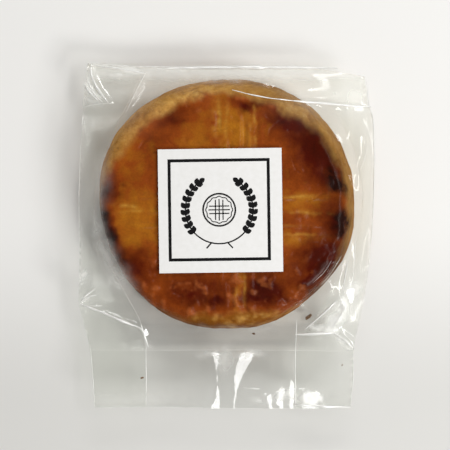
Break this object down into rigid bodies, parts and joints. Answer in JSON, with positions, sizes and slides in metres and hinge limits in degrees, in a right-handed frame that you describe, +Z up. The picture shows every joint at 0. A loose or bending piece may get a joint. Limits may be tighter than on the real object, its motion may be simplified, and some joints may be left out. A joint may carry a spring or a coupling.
{
  "type": "galette cookie",
  "caption": "Thick round butter galette with fork marks, sealed in a clear gusseted film bag with a square paper label on top.",
  "frame": {"origin": "middle of the cookie's flat base, where the pack rests", "axes": "+Z up through the cookie, +Y from the bag's open tail towards its closed top, +X to the right seen from above with the tail towards the viewer"},
  "size_m": [0.0725, 0.0841, 0.0155],
  "materials": {
    "baked_dough": "baked butter dough, brushed with egg on top",
    "clear_film": "clear glossy packaging film",
    "label_paper": "smooth white sticker paper"
  },
  "bodies": {
    "root": {"cookie": "baked_dough", "bag": "clear_film", "label": "label_paper"}
  },
  "joints": []
}
